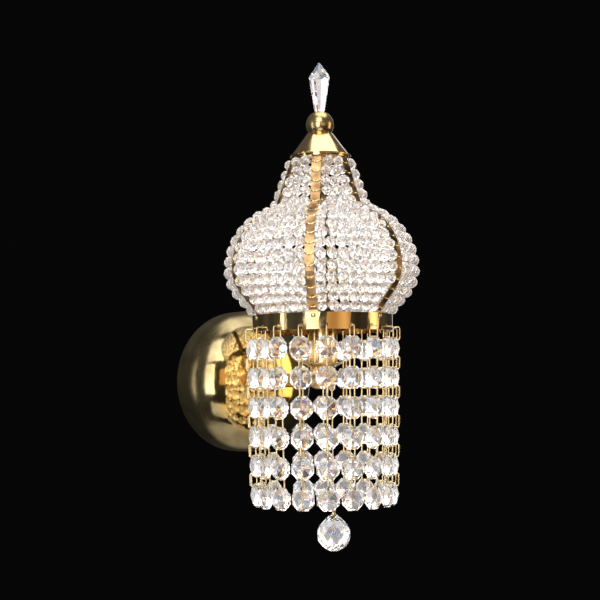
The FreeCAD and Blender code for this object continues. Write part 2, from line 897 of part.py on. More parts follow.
def rib_face(inset):
    """One face of the rib strip: crown tab, onion outline, foot inside the ring band."""
    stretches = onion_outline(inset)
    tab_height = crown_tab_height.value - inset
    tab = Run((cells.crown_tab_radius.value, tab_height), (cells.neck_radius.value, tab_height))
    foot_radius = rib_foot_radius.value - inset
    foot = Run((foot_radius, ring_top.value), (foot_radius, ring_top.value - cells.rib_tab.value))
    tab, top_bend, neck = rounded(tab, stretches[0], cells.rib_top_bend.value - inset, 1)
    skirt, foot_bend, foot = rounded(stretches[-1], foot, cells.rib_foot_bend.value + inset, -1)
    return [tab, top_bend, neck] + stretches[1:-1] + [skirt, foot_bend, foot]


def dome_ribs():
    half = cells.rib_gauge.value / 2
    outer = rib_face(-half)
    inner = [stretch.reverse() for stretch in reversed(rib_face(half))]
    chain = outer + [Run(outer[-1].at(1), inner[0].at(0))] + inner
    chain.append(Run(inner[-1].at(1), outer[0].at(0)))
    body = new_body("rib_blank")
    sketch = draw_chain(new_sketch(body, "rib_side", "XZ_Plane"), chain)
    pad(body, sketch, cells.rib_width, midplane=True)
    doc.recompute()
    hole = new_sketch(body, "rib_crown_hole", "XY_Plane", crown_bottom)
    draw_circle(hole, cells.crown_screw_radius, 0, cells.screw_shank + cells.fit)
    cut_deep(body, hole, cells.rib_gauge * 2)
    doc.recompute()
    foot_hole = new_sketch(body, "rib_foot_hole", "YZ_Plane", ring_inner + cells.rib_gauge)
    draw_circle(foot_hole, 0, ring_screw_height, cells.screw_shank + cells.fit)
    cut_deep(body, foot_hole, cells.rib_gauge * 3)
    doc.recompute()
    return ring_of_copies("dome_ribs", body.Shape, rib_angles)


def ring_of_copies(name, shape, angles):
    """Copies of one solid, turned round the lamp axis, as one sub-part."""
    copies = []
    for angle in angles:
        copy = shape.copy()
        copy.rotate(Vector(), Z_AXIS, angle)
        copies.append(copy)
    feature = doc.addObject("Part::Feature", name)
    feature.Shape = Part.makeCompound(copies)
    place(feature, -cells.reach)
    return finish(feature, name)


def outline_point(stretches, distance):
    """Point at a distance along the outline."""
    for stretch in stretches:
        length = stretch.length()
        if distance <= length or stretch is stretches[-1]:
            return stretch.at(distance / length)
        distance -= length


def bead_row_centres():
    """Centres of the bead rows, evenly spaced down the outline and clear of crown and band."""
    stretches = onion_outline(cells.bead_inset.value)
    total = sum(stretch.length() for stretch in stretches)
    top = (cells.bead_radius * cells.bead_overlap + cells.running_gap).value
    bottom = top / math.cos(math.radians(skirt_angle()))
    rows = int(cells.bead_rows.value)
    step = (total - top - bottom) / (rows - 1)
    return [outline_point(stretches, top + step * i) for i in range(rows)]


def bead_panels():
    """Rows of strung beads between two ribs; each row's round section runs into the next."""
    centres = bead_row_centres()
    pitch = max(math.dist(upper, lower) for upper, lower in zip(centres, centres[1:]))
    radius = max(cells.bead_radius.value, pitch / 2 * cells.bead_overlap.value)
    outer = []
    inner = []
    for upper, lower in zip(centres, centres[1:]):
        down = unit(Run(upper, lower))
        half = math.dist(upper, lower) / 2
        aside = math.sqrt(radius**2 - half**2)
        middle = Run(upper, lower).at(0.5)
        outer.append((middle[0] - down[1] * aside, middle[1] + down[0] * aside))
        inner.append((middle[0] + down[1] * aside, middle[1] - down[0] * aside))
    body = new_body("panel_blank")
    sketch = new_sketch(body, "panel_section", "XZ_Plane")
    draw_chain(sketch, scallops(centres, outer, inner, radius))
    spread = body.newObject("PartDesign::Revolution", "panel_turn")
    spread.Profile = sketch
    spread.ReferenceAxis = (sketch, ["V_Axis"])
    spread.Angle = 360.0 / cells.rib_count.value
    doc.recompute()
    wedge = body.Shape
    slab_half = cells.rib_width.value / 2 + cells.running_gap.value
    size_out = cells.dome_radius.value * 2
    slab = Part.makeBox(size_out, slab_half * 2, size_out * 2, Vector(0, -slab_half, 0))
    far_slab = slab.copy()
    far_slab.rotate(Vector(), Z_AXIS, far_side(wedge))
    panel = wedge.cut(slab).cut(far_slab).Solids[0]
    return ring_of_copies("bead_panels", panel, rib_angles)


def far_side(wedge):
    """The wedge's far side, in degrees from +X, whichever way it was turned."""
    centre = wedge.CenterOfMass
    return 2 * math.degrees(math.atan2(centre.y, centre.x))


def scallops(centres, outer, inner, radius):
    """The panel's section: a bend over each row down the outside, then back up the inside."""
    top = end_point(centres[0], centres[1], radius)
    bottom = end_point(centres[-1], centres[-2], radius)
    down = [top] + outer + [bottom]
    up = [bottom] + inner[::-1] + [top]
    bends = [clockwise(*spots, radius) for spots in zip(centres, down, down[1:])]
    bends += [clockwise(*spots, radius) for spots in zip(centres[::-1], up, up[1:])]
    return bends


def end_point(centre, neighbour, radius):
    """Point of the end row's circle that faces away from its neighbour."""
    away = unit(Run(neighbour, centre))
    return (centre[0] + away[0] * radius, centre[1] + away[1] * radius)


def clockwise(centre, start, end, radius):
    """The bend about a centre that runs clockwise from start to end."""
    begin = math.degrees(math.atan2(start[1] - centre[1], start[0] - centre[0]))
    finish_angle = math.degrees(math.atan2(end[1] - centre[1], end[0] - centre[0]))
    return Bend(centre, radius, begin, begin - (begin - finish_angle) % 360)


# ---------------------------------------------------------------- screws, crown, cap and finial


def round_head_screw(name, shank_length):
    """A screw along +Z: shank up to z = 0, domed head above it."""
    body = new_body(name)
    edge = cells.screw_head_height / 2
    points = [
        (0, -shank_length),
        (cells.screw_shank, -shank_length),
        (cells.screw_shank, 0),
        (cells.screw_head, 0),
        (cells.screw_head, edge),
        (cells.screw_head / 2, cells.screw_head_height),
        (0, cells.screw_head_height),
    ]
    turn(body, draw_outline(new_sketch(body, name + "_outline", "XZ_Plane"), points), "V_Axis")
    doc.recompute()
    return body.Shape


def rib_screws():
    """Six screws hold the ribs' feet to the band and six hold their tabs under the crown."""
    band_screw = round_head_screw("band_screw", cells.ring_wall + cells.rib_gauge * 2)
    crown_screw = round_head_screw("crown_screw", cells.rib_gauge + cells.crown_gauge / 2)
    screws = []
    for angle in rib_angles:
        screw = band_screw.copy()
        screw.rotate(Vector(), Y_AXIS, 90)
        screw.translate(Vector(cells.ring_radius.value, 0, ring_screw_height.value))
        screw.rotate(Vector(), Z_AXIS, angle)
        screws.append(screw)
        screw = crown_screw.copy()
        screw.rotate(Vector(), Y_AXIS, 180)
        under = crown_bottom.value - cells.rib_gauge.value
        screw.translate(Vector(cells.crown_screw_radius.value, 0, under))
        screw.rotate(Vector(), Z_AXIS, angle)
        screws.append(screw)
    return ring_of_copies("rib_screws", Part.makeCompound(screws), [0])


def crown_disc():
    """The disc that the ribs' tabs are screwed under; the finial's stud threads into its boss."""
    stud = cells.stud_radius + cells.fit
    body = turned_body(
        "crown_disc",
        [
            (stud, crown_bottom - cells.boss_depth),
            (cells.boss_radius, crown_bottom - cells.boss_depth),
            (cells.boss_radius, crown_bottom),
            (cells.crown_radius, crown_bottom),
            (cells.crown_radius, cells.crown_height),
            (stud, cells.crown_height),
        ],
    )
    doc.recompute()
    holes = new_sketch(body, "crown_holes", "XY_Plane")
    for angle in rib_angles:
        spot = direction(angle)
        across = cells.crown_screw_radius * spot.x
        along = cells.crown_screw_radius * spot.y
        draw_circle(holes, across, along, cells.screw_shank + cells.fit)
    cut_through(body, holes)
    place(body, -cells.reach)
    return finish(body, "crown_disc")


def cone_cap():
    """A hollow cone with a thin turned rim, seated on the crown disc."""
    wall = cells.cap_wall
    rim = cells.crown_height
    hole = cells.stud_radius + cells.fit
    body = turned_body(
        "cone_cap",
        [
            (cells.cap_rim_radius - wall * 2, rim),
            (cells.cap_rim_radius, rim),
            (cells.cap_rim_radius, rim + cells.cap_lip),
            (cells.cap_rim_radius - wall, rim + cells.cap_lip),
            (cells.cap_top_radius, cap_top),
            (hole, cap_top),
            (hole, cap_top - wall),
            (cells.cap_top_radius - wall, cap_top - wall),
        ],
    )
    place(body, -cells.reach)
    return finish(body, "cone_cap")


def finial_ball():
    """The ball, cut flat on the cap and under the spike, with a stud at each end."""
    ball = doc.addObject("Part::Sphere", "ball_round")
    bind(ball, "Radius", cells.ball_radius)
    bind(ball, "Placement.Base.z", ball_centre)
    keep = doc.addObject("Part::Cylinder", "ball_keep")
    bind(keep, "Radius", cells.ball_radius * 2)
    bind(keep, "Height", cells.ball_seat + cells.ball_rise)
    bind(keep, "Placement.Base.z", cap_top)
    trimmed = doc.addObject("Part::Common", "ball_trimmed")
    trimmed.Base = ball
    trimmed.Tool = keep
    lower = doc.addObject("Part::Cylinder", "ball_stud")
    bind(lower, "Radius", cells.stud_radius)
    bind(lower, "Height", cells.cap_height + cells.boss_depth + cells.ball_seat)
    bind(lower, "Placement.Base.z", cells.crown_height - cells.boss_depth)
    upper = doc.addObject("Part::Cylinder", "spike_stud")
    bind(upper, "Radius", cells.stud_radius)
    bind(upper, "Height", cells.ball_rise + cells.spike_stud)
    bind(upper, "Placement.Base.z", ball_centre)
    whole = doc.addObject("Part::MultiFuse", "finial_ball")
    whole.Shapes = [trimmed, lower, upper]
    place(whole, -cells.reach)
    return finish(whole, "finial_ball")


def polygon(name, flats_half, height, sides=8):
    """A regular polygon across Z with a flat towards +X, given half its width over flats."""
    shape = doc.addObject("Part::RegularPolygon", name)
    shape.Polygon = sides
    bind(shape, "Circumradius", size(flats_half) / math.cos(math.pi / sides))
    shape.Placement = FreeCAD.Placement(Vector(), Rotation(Z_AXIS, 180.0 / sides))
    bind(shape, "Placement.Base.z", height)
    return shape


def ruled_solid(name, sections):
    """A faceted solid through polygons stacked along Z."""
    loft = doc.addObject("Part::Loft", name)
    loft.Sections = sections
    loft.Solid = True
    loft.Ruled = True
    return loft


def finial_spike():
    """A faceted crystal spear: a long taper out to the waist, then a short point."""
    blank = ruled_solid(
        "spike_blank",
        [
            polygon("spike_foot", cells.spike_base, spike_bottom),
            polygon("spike_middle", cells.spike_waist, spike_bottom + cells.spike_waist_height),
            polygon("spike_point", cells.spike_tip, spike_bottom + cells.spike_height),
        ],
    )
    bore = doc.addObject("Part::Cylinder", "spike_bore")
    bind(bore, "Radius", cells.stud_radius + cells.fit)
    bind(bore, "Height", cells.spike_stud + cells.fit)
    bind(bore, "Placement.Base.z", spike_bottom)
    return cut_by(blank, [bore], "finial_spike")


# ---------------------------------------------------------------- crystal strands


def octagon_crystal():
    """One flat octagon crystal, thickness along Z, with a pin hole near two opposite flats."""
    half = cells.crystal_flats / 2
    table = half - cells.crystal_bevel
    face = cells.crystal_depth / 2
    girdle = cells.crystal_girdle / 2
    blank = ruled_solid(
        "crystal_blank",
        [
            polygon("crystal_back", table, -face),
            polygon("crystal_girdle_back", half, -girdle),
            polygon("crystal_girdle_front", half, girdle),
            polygon("crystal_front", table, face),
        ],
    )
    holes = []
    for name, side in (("crystal_hole_up", 1), ("crystal_hole_down", -1)):
        hole = doc.addObject("Part::Cylinder", name)
        bind(hole, "Radius", cells.crystal_hole)
        bind(hole, "Height", cells.crystal_depth * 2)
        bind(hole, "Placement.Base.x", (half - cells.crystal_hole_inset) * side)
        bind(hole, "Placement.Base.z", -cells.crystal_depth)
        holes.append(hole)
    tools = doc.addObject("Part::MultiFuse", "crystal_holes")
    tools.Shapes = holes
    crystal = doc.addObject("Part::Cut", "crystal")
    crystal.Base = blank
    crystal.Tool = tools
    doc.recompute()
    solid = crystal.Shape.copy()
    # lay X up and Z outwards
    solid.rotate(Vector(), Y_AXIS, -90)
    solid.rotate(Vector(), X_AXIS, 180)
    return solid


def wire_link(span):
    """A closed wire link in the XZ plane: two cross bars, span apart, through two holes."""
    depth = cells.link_half_depth.value
    bend = cells.link_bend.value
    top = span / 2
    corners = [(depth, top), (-depth, top), (-depth, -top), (depth, -top)]
    edges = []
    for i, (x, z) in enumerate(corners):
        centre = Vector(x - math.copysign(bend, x), 0, z - math.copysign(bend, z))
        begin = 90 * i
        angles = [math.radians(begin + step) for step in (0, 45, 90)]
        spots = [centre + Vector(math.cos(a), 0, math.sin(a)) * bend for a in angles]
        edges.append(Part.Arc(*spots).toShape())
    joined_edges = []
    for i, edge in enumerate(edges):
        after = edges[(i + 1) % 4]
        joined_edges.append(edge)
        joined_edges.append(Part.makeLine(edge.lastVertex().Point, after.firstVertex().Point))
    path = Part.Wire(joined_edges)
    start = edges[0].firstVertex().Point
    section = Part.Wire(Part.Circle(start, Z_AXIS, cells.link_wire.value).toShape())
    return path.makePipeShell([section], True, True)


def leaned(shape, height):
    """A copy set on the strand's line at a height and leaned along it."""
    copy = shape.copy()
    copy.rotate(Vector(), Y_AXIS, cells.strand_lean.value)
    copy.translate(strand_line(height))
    return copy


def strands():
    """Crystals down each strand's line, a link between each two and one up to the band's hole."""
    lean = math.cos(math.radians(cells.strand_lean.value))
    hole = (cells.crystal_flats / 2 - cells.crystal_hole_inset).value
    crystal = octagon_crystal()
    between = wire_link(cells.crystal_pitch.value / lean - 2 * hole)
    eye = crystal_centres[0] + hole * lean
    top_link = wire_link((hook_height.value - eye) / lean)
    crystals = [leaned(crystal, height) for height in crystal_centres]
    links = [leaned(top_link, (hook_height.value + eye) / 2)]
    for upper, lower in zip(crystal_centres, crystal_centres[1:]):
        links.append(leaned(between, (upper + lower) / 2))
    for number, angle in enumerate(strand_angles, start=1):
        for name, pieces in (("strand_crystals", crystals), ("strand_links", links)):
            ring_of_copies(f"{name}_{number:02d}", Part.makeCompound(pieces), [angle])


# ---------------------------------------------------------------- pendant


def loop_ring(name, radius, height, across_x):
    """A wire ring that stands upright, in the XZ plane or in the YZ plane."""
    ring = doc.addObject("Part::Torus", name)
    bind(ring, "Radius1", radius)
    bind(ring, "Radius2", cells.pendant_wire)
    axis = Y_AXIS if across_x else X_AXIS
    ring.Placement = FreeCAD.Placement(Vector(), Rotation(Z_AXIS, axis))
    bind(ring, "Placement.Base.z", height)
    return ring


# The top ring hangs in the hub's eye; the ball's ring hangs in the bottom ring.
hang = -(cells.eye_drop + cells.eye_hole - cells.pendant_wire - cells.running_gap)
top_ring_centre = hang - cells.pendant_loop
ball_top = cells.pendant_neck - cells.pendant_drop
disc_top = ball_top + cells.cap_disc_height
cap_ring_centre = disc_top + cells.cap_loop
cap_ring_bar = cap_ring_centre + cells.cap_loop
bottom_bar = cap_ring_bar - cells.pendant_wire * 2 - cells.running_gap
bottom_ring_centre = bottom_bar + cells.pendant_loop


def pendant_hook():
    """A long wire with a ring at each end."""
    rod = doc.addObject("Part::Cylinder", "hook_rod")
    bind(rod, "Radius", cells.pendant_wire)
    low = bottom_ring_centre + cells.pendant_loop
    bind(rod, "Height", top_ring_centre - cells.pendant_loop - low)
    bind(rod, "Placement.Base.z", low)
    whole = doc.addObject("Part::MultiFuse", "pendant_hook")
    whole.Shapes = [
        rod,
        loop_ring("hook_top_ring", cells.pendant_loop, top_ring_centre, True),
        loop_ring("hook_bottom_ring", cells.pendant_loop, bottom_ring_centre, True),
    ]
    place(whole, -(cells.reach + cells.eye_reach))
    return finish(whole, "pendant_hook")


def pendant_cap():
    """Brass disc and pin on the crystal ball, with the ring it hangs by."""
    disc = doc.addObject("Part::Cylinder", "cap_disc")
    bind(disc, "Radius", cells.cap_disc_radius)
    bind(disc, "Height", cells.cap_disc_height)
    bind(disc, "Placement.Base.z", ball_top)
    pin = doc.addObject("Part::Cylinder", "cap_pin")
    bind(pin, "Radius", cells.cap_pin_radius)
    bind(pin, "Height", cells.cap_pin_depth + cells.cap_disc_height)
    bind(pin, "Placement.Base.z", ball_top - cells.cap_pin_depth)
    whole = doc.addObject("Part::MultiFuse", "pendant_cap")
    whole.Shapes = [disc, pin, loop_ring("cap_ring", cells.cap_loop, cap_ring_centre, False)]
    place(whole, -(cells.reach + cells.eye_reach))
    return finish(whole, "pendant_cap")


def pendant_ball():
    """A crystal ball that runs up into a cone-shaped neck, with a pin hole drilled from its top."""
    turn_in = math.radians(cells.pendant_shoulder.value)
    ball = doc.addObject("Part::Sphere", "crystal_ball")
    bind(ball, "Radius", cells.pendant_radius)
    bind(ball, "Placement.Base.z", -cells.pendant_drop)
    shoulder = cells.pendant_radius * math.cos(turn_in)
    tip = cells.pendant_radius / math.cos(turn_in)
    neck = doc.addObject("Part::Cone", "crystal_neck")
    bind(neck, "Radius1", cells.pendant_radius * math.sin(turn_in))
    bind(neck, "Radius2", (tip - cells.pendant_neck) / math.tan(turn_in))
    bind(neck, "Height", cells.pendant_neck - shoulder)
    bind(neck, "Placement.Base.z", shoulder - cells.pendant_drop)
    blank = doc.addObject("Part::Fuse", "crystal_blank_ball")
    blank.Base = ball
    blank.Tool = neck
    bore = doc.addObject("Part::Cylinder", "ball_pin_hole")
    bind(bore, "Radius", cells.cap_pin_radius + cells.fit)
    bind(bore, "Height", cells.cap_pin_depth + cells.fit + cells.cap_disc_height)
    bind(bore, "Placement.Base.z", ball_top - cells.cap_pin_depth - cells.fit)
    whole = doc.addObject("Part::Cut", "pendant_ball")
    whole.Base = blank
    whole.Tool = bore
    place(whole, -(cells.reach + cells.eye_reach))
    return finish(whole, "pendant_ball")


# ---------------------------------------------------------------- build, test and write

strand_angles = [FRONT + angle for angle in strand_directions()]

wall_plate()
mounting_bracket()
terminal_block()
arm_tube()
arm_nut()
arm_collar()
hub()
lamp_parts()
ring_spider()
ring_band()
dome_ribs()
rib_screws()
crown_disc()
cone_cap()
finial_ball()
finial_spike()
bead_panels()
strands()
pendant_hook()
pendant_cap()
pendant_ball()

doc.recompute()
for item in doc.Objects:
    if "Invalid" in item.State or "Error" in item.State:
        raise RuntimeError(f"{item.Label} failed: {item.State}")

os.makedirs("parts", exist_ok=True)
for name, item in finished.items():
    shape = item.Shape
    if shape.isNull() or not shape.isValid() or not shape.Solids:
        raise RuntimeError(f"{name} has no valid solid")
    shape.exportStep(os.path.join("parts", name + ".step"))
print(len(finished), "sub-parts written")
print("strand directions from the front:", [round(angle - FRONT, 1) for angle in strand_angles])
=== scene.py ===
import bpy
import bmesh
import json
import math
import random
from mathutils import Matrix, Vector


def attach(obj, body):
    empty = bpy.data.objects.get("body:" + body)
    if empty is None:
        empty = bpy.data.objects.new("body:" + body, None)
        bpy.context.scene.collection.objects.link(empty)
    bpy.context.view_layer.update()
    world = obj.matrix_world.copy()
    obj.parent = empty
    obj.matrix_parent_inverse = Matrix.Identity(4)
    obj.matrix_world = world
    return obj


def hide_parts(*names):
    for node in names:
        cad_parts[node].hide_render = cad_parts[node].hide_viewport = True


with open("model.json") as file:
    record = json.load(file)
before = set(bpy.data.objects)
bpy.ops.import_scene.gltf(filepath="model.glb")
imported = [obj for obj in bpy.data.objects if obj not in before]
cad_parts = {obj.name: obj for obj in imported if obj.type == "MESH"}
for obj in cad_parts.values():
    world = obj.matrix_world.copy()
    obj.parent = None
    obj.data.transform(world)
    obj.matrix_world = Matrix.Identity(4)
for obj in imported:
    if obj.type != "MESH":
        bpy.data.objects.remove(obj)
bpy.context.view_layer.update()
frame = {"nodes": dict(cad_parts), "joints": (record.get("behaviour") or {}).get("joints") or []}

MM = 0.001
LAMP_Y = -139 * MM                 # the lamp's upright axis, out from the wall
UP = Vector((0, 0, 1))
PANEL_AIM = Vector((0, LAMP_Y, 60 * MM))


def soft_panel(name, place, width, height, watts, tint=(1, 1, 1)):
    """A rectangular soft light, in metres, that faces the lamp and that the eye doesn't see."""
    light = bpy.data.lights.new(name, "AREA")
    light.shape = "RECTANGLE"
    light.size = width
    light.size_y = height
    light.energy = watts
    light.color = tint
    panel = bpy.data.objects.new(name, light)
    panel.location = place
    panel.rotation_euler = (PANEL_AIM - Vector(place)).to_track_quat("-Z", "Y").to_euler()
    panel.visible_camera = False
    bpy.context.scene.collection.objects.link(panel)


soft_panel("front_panel", (-0.98, -1.00, 0.08), 0.50, 0.90, 6)
soft_panel("key_panel", (-0.75, -1.05, 1.05), 0.90, 0.90, 8)
soft_panel("top_panel", (0.15, -0.20, 1.25), 1.0, 1.0, 7)
soft_panel("right_panel", (1.20, -0.90, 0.15), 0.50, 0.9, 3, (1, 0.78, 0.50))
soft_panel("warm_panel", (-0.20, -1.50, 0.14), 0.95, 0.45, 1.1, (1, 0.62, 0.28))
soft_panel("left_strip", (-1.25, 0.05, 0.10), 0.14, 1.0, 1.6)
soft_panel("low_panel", (-0.45, -0.95, -0.70), 0.8, 0.4, 1.2, (1, 0.95, 0.88))
soft_panel("rear_right_strip", (0.85, 0.70, 0.35), 0.30, 0.9, 0.8)


def new_finish(name, colour, metallic=0.0, roughness=0.5):
    """A material, its node tree and its shader, with the shader's plain values set."""
    finish = bpy.data.materials.new(name)
    finish.use_nodes = True
    shader = finish.node_tree.nodes["Principled BSDF"]
    shader.inputs["Base Color"].default_value = (*colour, 1)
    shader.inputs["Metallic"].default_value = metallic
    shader.inputs["Roughness"].default_value = roughness
    return finish, finish.node_tree, shader


def node(tree, kind, **values):
    """A shader node with its fields or inputs set."""
    made = tree.nodes.new(kind)
    for key, value in values.items():
        if key in made.inputs:
            made.inputs[key].default_value = value
        else:
            setattr(made, key, value)
    return made


def noise_of(tree, scale, detail=3.0, stretch=(1, 1, 1)):
    """Noise by a piece's own place. A stretch under 1 draws it out along that axis."""
    place = node(tree, "ShaderNodeTexCoord")
    turn = node(tree, "ShaderNodeMapping")
    turn.inputs["Scale"].default_value = stretch
    grain = node(tree, "ShaderNodeTexNoise", Scale=scale, Detail=detail)
    tree.links.new(place.outputs["Object"], turn.inputs["Vector"])
    tree.links.new(turn.outputs["Vector"], grain.inputs["Vector"])
    return grain.outputs["Fac"]


NOISE_SPAN = (0.3, 0.7)            # nearly all of a noise's values lie between these


def remapped(tree, source, span, target=(0, 1), way="LINEAR"):
    """A value taken from one span to another, and held at the ends."""
    made = node(tree, "ShaderNodeMapRange", interpolation_type=way)
    for key, value in zip(("From Min", "From Max", "To Min", "To Max"), (*span, *target)):
        made.inputs[key].default_value = value
    tree.links.new(source, made.inputs["Value"])
    return made.outputs["Result"]


def joined(tree, operation, first, second):
    """Two values, added or multiplied."""
    made = node(tree, "ShaderNodeMath", operation=operation)
    tree.links.new(first, made.inputs[0])
    tree.links.new(second, made.inputs[1])
    return made.outputs[0]


FLOOR_RADIUS, FLOOR_HEIGHT = 0.60, -0.90
floor_form = bmesh.new()
bmesh.ops.create_circle(floor_form, cap_ends=True, radius=FLOOR_RADIUS, segments=96)
bmesh.ops.translate(floor_form, verts=floor_form.verts, vec=(0, LAMP_Y, FLOOR_HEIGHT))
floor_mesh = bpy.data.meshes.new("floor")
floor_form.to_mesh(floor_mesh)
floor_form.free()
floor_finish, floor_tree, floor_shader = new_finish("pale_floor", (0.80, 0.79, 0.77), 0, 0.6)
floor_tree.links.new(
    remapped(floor_tree, noise_of(floor_tree, 6), NOISE_SPAN, (0.55, 0.7)),
    floor_shader.inputs["Roughness"],
)
floor_mesh.materials.append(floor_finish)
floor = bpy.data.objects.new("floor", floor_mesh)
bpy.context.scene.collection.objects.link(floor)

# The eye sees the black surround. Glass gathers the light of a pale tent, which is brighter
# overhead and open behind the sconce, metal mirrors a small share of the tent, and plain surfaces
# get an even room light.
world = bpy.data.worlds.new("studio")
bpy.context.scene.world = world
world.use_nodes = True
world_tree = world.node_tree
world_tree.nodes["Background"].inputs["Color"].default_value = (0.002, 0.002, 0.002, 1)
surround = world_tree.nodes["Background"].outputs[0]
room_light = node(world_tree, "ShaderNodeBackground", Color=(0.40, 0.395, 0.39, 1))
room = room_light.outputs[0]
tent_light = node(world_tree, "ShaderNodeBackground", Color=(1.0, 0.975, 0.96, 1))
tent = tent_light.outputs[0]

EYE_BACK = Vector((-0.559, -0.829, 0))
EYE_RIGHT = Vector((0.829, -0.559, 0))
TENT_LOW, TENT_HIGH, TENT_SHARE_BEHIND, TENT_SHARE_ON_METAL = 0.80, 3.3, 0.20, 0.03
direction = node(world_tree, "ShaderNodeTexCoord").outputs["Generated"]
upwards = node(world_tree, "ShaderNodeSeparateXYZ")
world_tree.links.new(direction, upwards.inputs[0])
strength = remapped(world_tree, upwards.outputs["Z"], (-0.4, 0.6), (TENT_LOW, TENT_HIGH))
behind = node(world_tree, "ShaderNodeVectorMath", operation="DOT_PRODUCT")
world_tree.links.new(direction, behind.inputs[0])
behind.inputs[1].default_value = -EYE_BACK
opening = remapped(world_tree, behind.outputs["Value"], (0.84, 0.96), (1, TENT_SHARE_BEHIND))
world_tree.links.new(
    joined(world_tree, "MULTIPLY", strength, opening), tent_light.inputs["Strength"]
)


def blended(share, first, second):
    """The first light turned into the second by a share, which is a number or a socket."""
    blend = node(world_tree, "ShaderNodeMixShader")
    if isinstance(share, float):
        blend.inputs["Fac"].default_value = share
    else:
        world_tree.links.new(share, blend.inputs["Fac"])
    world_tree.links.new(first, blend.inputs[1])
    world_tree.links.new(second, blend.inputs[2])
    return blend.outputs[0]


rays = node(world_tree, "ShaderNodeLightPath").outputs
# a perfectly sharp mirror ray is one off cut glass, and sees the whole tent
off_glass = joined(world_tree, "MULTIPLY", rays["Is Glossy Ray"], rays["Is Singular Ray"])
light = blended(rays["Is Transmission Ray"], room, tent)
light = blended(rays["Is Glossy Ray"], light, blended(TENT_SHARE_ON_METAL, surround, tent))
light = blended(off_glass, light, tent)
light = blended(rays["Is Camera Ray"], light, surround)
world_tree.links.new(light, world_tree.nodes["World Output"].inputs["Surface"])

EYE_DISTANCE, EYE_HEIGHT = 1.083, -7.25 * MM
EYE_TURN, EYE_TILT, EYE_ROLL = math.radians(0.97), math.radians(3.9), math.radians(-0.65)
lens = bpy.data.cameras.new("eye")
lens.lens = 78
lens.sensor_width = 36
lens.clip_start = 0.05
camera = bpy.data.objects.new("eye", lens)
bpy.context.scene.collection.objects.link(camera)
bpy.context.scene.camera = camera
ahead = -EYE_BACK * math.cos(EYE_TURN) - EYE_RIGHT * math.sin(EYE_TURN)
side = ahead.cross(UP).normalized()
ahead = ahead * math.cos(EYE_TILT) + UP * math.sin(EYE_TILT)
above = side.cross(ahead)
facing = Matrix((side, above, -ahead)).transposed() @ Matrix.Rotation(EYE_ROLL, 3, "Z")
spot = Vector((0, LAMP_Y, EYE_HEIGHT)) + EYE_BACK * EYE_DISTANCE
camera.matrix_world = Matrix.Translation(spot) @ facing.to_4x4()
bpy.context.scene.view_settings.view_transform = "Standard"

# ---------------------------------------------------------------- wall plate
# A deep dome spun from brass sheet, polished and lacquered, with a straight side wall that stands
# on the wall. It hides the bracket and the wires.


def add_piece(
    form, name, finish, body="fixture", instead=(), smooth=None, facets=None
):
    """Makes a form a finished piece on a body.

    Edges flatter than smooth, in degrees, are shaded over. With facets, a run of random numbers,
    each face gets a painted tone of its own, which the crystal finishes turn into painted glints
    and painted shade.
    """
    mesh = bpy.data.meshes.new(name)
    form.to_mesh(mesh)
    form.free()
    if smooth:
        mesh.shade_smooth()
        mesh.set_sharp_from_angle(angle=math.radians(smooth))
    if facets:
        painted_tone = mesh.attributes.new("facet", "FLOAT", "FACE")
        for face in painted_tone.data:
            face.value = facets.random()
    mesh.materials.append(finish)
    piece = bpy.data.objects.new(name, mesh)
    bpy.context.scene.collection.objects.link(piece)
    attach(piece, body)
    if instead:
        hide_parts(*instead)


SPIN_SEAM = 1e-6                   # points of a spun form nearer than this, in metres, are one


def spun(points, axis, centre, steps=96, closed=True):
    """A profile of (radius, height) in millimetres, spun about an axis through a centre."""
    form = bmesh.new()
    if axis == "Y":
        line = [form.verts.new((r * MM, -h * MM, 0)) for r, h in points]
        about = Vector((0, 1, 0))
    else:
        line = [form.verts.new((r * MM, 0, h * MM)) for r, h in points]
        about = UP
    edges = [form.edges.new(pair) for pair in zip(line, line[1:])]
    if closed:
        edges.append(form.edges.new((line[-1], line[0])))
    bmesh.ops.spin(
        form, geom=line + edges, axis=about, cent=(0, 0, 0), angle=math.tau, steps=steps,
        use_merge=True,
    )
    bmesh.ops.remove_doubles(form, verts=form.verts, dist=SPIN_SEAM)
    bmesh.ops.recalc_face_normals(form, faces=form.faces)
    bmesh.ops.translate(form, verts=form.verts, vec=centre)
    return form


def arc_points(centre_r, centre_h, radius_r, radius_h, start, end, count=40):
    """Points along an ellipse's arc, in degrees from the radius towards the height."""
    turns = [math.radians(start + (end - start) * i / count) for i in range(count + 1)]
    return [
        (centre_r + radius_r * math.cos(t), centre_h + radius_h * math.sin(t)) for t in turns
    ]


def tinted(tree, source, first, second):
    """A colour that runs from one to another by a noise."""
    ramp = node(tree, "ShaderNodeValToRGB")
    for element, position, colour in zip(ramp.color_ramp.elements, NOISE_SPAN, (first, second)):
        element.position = position
        element.color = (*colour, 1)
    tree.links.new(source, ramp.inputs["Fac"])
    return ramp.outputs["Color"]


def bumped(tree, shader, source, strength, distance):
    """Fine relief on a shader, its depth in metres."""
    relief = node(tree, "ShaderNodeBump", Strength=strength, Distance=distance)
    tree.links.new(source, relief.inputs["Height"])
    tree.links.new(relief.outputs["Normal"], shader.inputs["Normal"])


BRASS_GRAIN, BRASS_DEPTH = (420, 4), 0.0004
